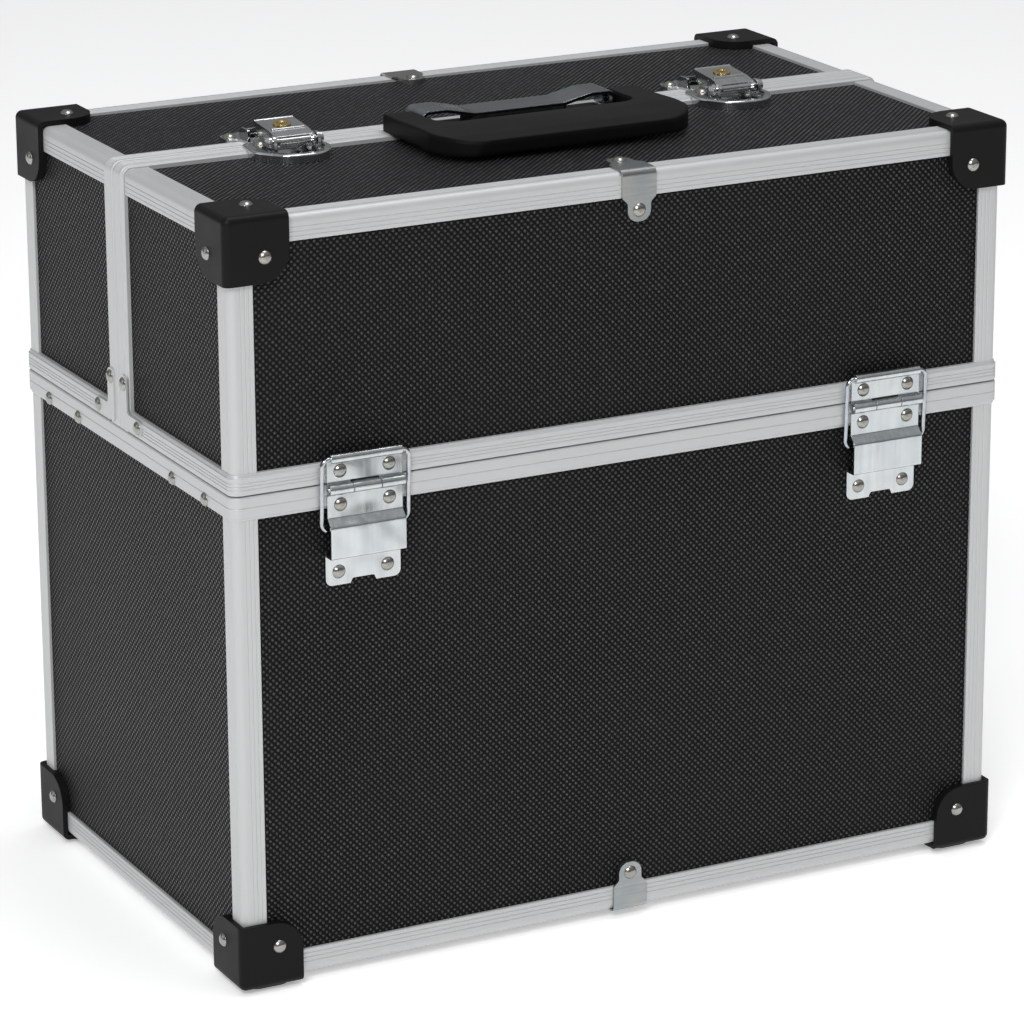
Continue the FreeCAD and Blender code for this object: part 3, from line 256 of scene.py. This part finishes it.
FINISHES = {
    "black_abs_panel": panel_finish(),
    "satin_aluminium": aluminium_finish(),
    "black_protector": plastic_finish(
        "black_protector", (0.006, 0.006, 0.0062), 0.42, grain=1300.0, depth=0.00005, edge=0.0006),
    "zinc_steel": plated_finish(
        "zinc_steel", (0.6, 0.62, 0.625), 0.12, 0.24,
        stretch=(1, 1, 0.08), scale=300.0, cast=(0.95, 0.98, 1.0), wave=0.0008),
    "clip_steel": plated_finish(
        "clip_steel", (0.4, 0.4, 0.385), 0.26, 0.4, stretch=(0.06, 1, 1), scale=900.0, wave=0.0003),
    "stay_wire": plated_finish("stay_wire", (0.5, 0.505, 0.51), 0.06, 0.14),
    "rivet_steel": plated_finish(
        "rivet_steel", (0.36, 0.355, 0.34), 0.18, 0.3, scale=700.0, cast=(1.0, 0.97, 0.9)),
    "lining_foam": foam_finish(),
    "lock_chrome": plated_finish(
        "lock_chrome", (0.6, 0.61, 0.61), 0.05, 0.15,
        stretch=(1, 0.2, 1), scale=200.0, cast=(0.97, 0.98, 1.0), wave=0.0004),
    "key_brass": plated_finish(
        "key_brass", (0.66, 0.52, 0.22), 0.18, 0.32, scale=900.0, cast=(1.0, 0.92, 0.8)),
    "handle_chrome": plated_finish(
        "handle_chrome", (0.36, 0.37, 0.385), 0.12, 0.24,
        stretch=(0.05, 1, 1), scale=500.0, edge=0.0006, wave=0.0003),
    "handle_plastic": plastic_finish(
        "handle_plastic", (0.006, 0.006, 0.0063), 0.4, grain=1700.0, depth=0.00004, edge=0.003, shine=0.09),
    "arm_steel": plated_finish(
        "arm_steel", (0.6, 0.61, 0.62), 0.24, 0.36, stretch=(1, 0.1, 0.1), scale=600.0),
    "tray_plastic": plastic_finish(
        "tray_plastic", (0.022, 0.022, 0.024), 0.5, grain=1100.0, depth=0.00007, edge=0.0004),
}


def dress_nodes():
    """Each CAD node takes the finish of its material slot in the record."""
    for row in frame["record"]["subparts"]:
        slots = frame["nodes"][row["node"]].data.materials
        slots.clear()
        slots.append(FINISHES[row["material_slot"]])


# ---------------------------------------------------------------- soft lining of the base
def piece(name, mesh, finish):
    thing = bpy.data.objects.new(name, mesh)
    SCENE.collection.objects.link(thing)
    mesh.materials.append(finish)
    return thing


def lining_mesh(low, high):
    """Crowned foam mat and soft wall lining inside the box from low to high, as one mesh."""
    mesh = bmesh.new()
    mat_top = low.z + 0.003
    wall_thick = 0.0008

    def sheet(count_u, count_v, point):
        """Closed slab: point(s, t, face) gives its back (0) and front (1); s and t run from 0 to 1."""
        grids = [[[mesh.verts.new(point(i / count_u, j / count_v, face)) for j in range(count_v + 1)]
                  for i in range(count_u + 1)] for face in (0, 1)]
        for face, grid in enumerate(grids):
            for i in range(count_u):
                for j in range(count_v):
                    quad = [grid[i][j], grid[i + 1][j], grid[i + 1][j + 1], grid[i][j + 1]]
                    mesh.faces.new(quad if face else quad[::-1])
        back, front = grids
        rim = [(i, 0) for i in range(count_u)] + [(count_u, j) for j in range(count_v)]
        rim += [(i, count_v) for i in range(count_u, 0, -1)] + [(0, j) for j in range(count_v, 0, -1)]
        for (a, b), (c, d) in zip(rim, rim[1:] + rim[:1]):
            mesh.faces.new([back[a][b], back[c][d], front[c][d], front[a][b]])

    def mat(s, t, face):
        x = low.x + (high.x - low.x) * s
        y = low.y + (high.y - low.y) * t
        edge = min(s, 1 - s, t, 1 - t)
        crown = min(1.0, edge / 0.02) ** 0.5
        swell = 0.0004 * noise.noise(Vector((x, y, 0)) * 22)
        return (x, y, mat_top - 0.0002 - 0.0012 * (1 - crown) + min(0.0, swell) if face else low.z)

    def wall(along, sign):
        def point(s, t, face):
            reach = (high.x if along == "x" else high.y) - wall_thick
            run = -reach + 2 * reach * s
            z = mat_top + (high.z - mat_top) * t
            ripple = 0.00025 * (0.5 + 0.5 * noise.noise(Vector((run * 14, z * 9, sign * 3))))
            inset = (wall_thick - ripple) if face else 0.0
            if along == "x":
                return (run, sign * (high.y - inset), z)
            return (sign * (high.x - inset), run, z)
        return point

    sheet(96, 60, mat)
    for along, count in (("x", 72), ("y", 44)):
        for sign in (-1, 1):
            sheet(count, 36, wall(along, sign))
    bmesh.ops.recalc_face_normals(mesh, faces=mesh.faces)
    data = bpy.data.meshes.new("base_lining_pad")
    mesh.to_mesh(data)
    mesh.free()
    data.shade_smooth()
    return data


def line_base():
    low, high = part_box("base_lining")
    pad = piece("base_lining_pad", lining_mesh(low, high), FINISHES["lining_foam"])
    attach(pad, "base")
    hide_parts("base_lining")


# ---------------------------------------------------------------- floor, light and camera
def quad_mesh(name, corners):
    mesh = bpy.data.meshes.new(name)
    mesh.from_pydata(corners, [], [(0, 1, 2, 3)])
    return mesh


def floor():
    reach = 9.0
    mesh = quad_mesh("floor", [(a * reach, b * reach, 0) for a, b in ((-1, -1), (1, -1), (1, 1), (-1, 1))])
    m = Finish("floor_paper", (0.93, 0.93, 0.93), 0.9, Emission_Color=(1, 1, 1, 1), Emission_Strength=0.34)
    m.tint(m.noise(3.0, 2.0), 0.995, 1.005)
    piece("floor", mesh, m.material)


def black_card():
    """Dark card lying in front of the case that only shows as a reflection in its metal."""
    spots = ((0.1, -1.0), (0.36, -1.12), (0.52, -0.78), (0.26, -0.66))
    mesh = quad_mesh("black_card", [(x, y, 0.002) for x, y in spots])
    m = Finish("card_black", (0.02, 0.02, 0.02), 0.9)
    m.tint(m.noise(12.0, 2.0), 0.8, 1.2)
    card = piece("black_card", mesh, m.material)
    card.visible_camera = card.visible_diffuse = card.visible_shadow = False


def soft_box(name, place, target, size, power):
    lamp = bpy.data.lights.new(name, "AREA")
    lamp.shape = "RECTANGLE"
    lamp.size, lamp.size_y = size
    lamp.energy = power
    holder = bpy.data.objects.new(name, lamp)
    SCENE.collection.objects.link(holder)
    holder.location = place
    holder.rotation_euler = (Vector(target) - Vector(place)).to_track_quat("-Z", "Y").to_euler()


def surround():
    """World that brightens from strength 0.1 at the horizon to 0.42 overhead."""
    world = bpy.data.worlds.new("studio")
    world.use_nodes = True
    SCENE.world = world
    tree = world.node_tree
    back = tree.nodes["Background"]
    back.inputs["Color"].default_value = (0.97, 0.985, 1.0, 1)
    where = tree.nodes.new("ShaderNodeTexCoord")
    split = tree.nodes.new("ShaderNodeSeparateXYZ")
    tree.links.new(where.outputs["Generated"], split.inputs[0])
    grade = tree.nodes.new("ShaderNodeMapRange")
    for key, value in enumerate((-0.05, 0.75, 0.1, 0.42), 1):
        grade.inputs[key].default_value = value
    tree.links.new(split.outputs["Z"], grade.inputs[0])
    tree.links.new(grade.outputs[0], back.inputs["Strength"])


def light():
    """Key light from the front left, a weak one from the left and one overhead."""
    surround()
    target = (0, 0, 0.17)
    soft_box("key", (-1.5, -1.9, 2.0), target, (1.0, 1.0), 42)
    soft_box("side", (-2.4, 0.6, 1.0), target, (1.2, 1.6), 4.0)
    soft_box("overhead", (0.3, -0.2, 2.6), target, (1.6, 1.0), 22)
    SCENE.view_settings.view_transform = "Standard"


def camera():
    """Long lens at three-quarter height, to the left of the front."""
    azimuth, elevation, roll = (math.radians(a) for a in (27.309, 17.596, -0.297))
    level = math.cos(elevation)
    ahead = Vector((math.sin(azimuth) * level, math.cos(azimuth) * level, -math.sin(elevation)))
    right = Vector((math.cos(azimuth), -math.sin(azimuth), 0))
    up = right.cross(ahead)
    across = right * math.cos(roll) + up * math.sin(roll)
    upward = up * math.cos(roll) - right * math.sin(roll)
    eye = bpy.data.cameras.new("camera")
    eye.sensor_width = 36
    eye.lens = 163.5
    eye.clip_end = 60
    holder = bpy.data.objects.new("camera", eye)
    SCENE.collection.objects.link(holder)
    turn = Matrix((across, upward, -ahead)).transposed().to_4x4()
    holder.matrix_world = Matrix.Translation((-0.9284, -1.8, 0.8002)) @ turn
    SCENE.camera = holder


dress_nodes()
line_base()
floor()
black_card()
light()
camera()
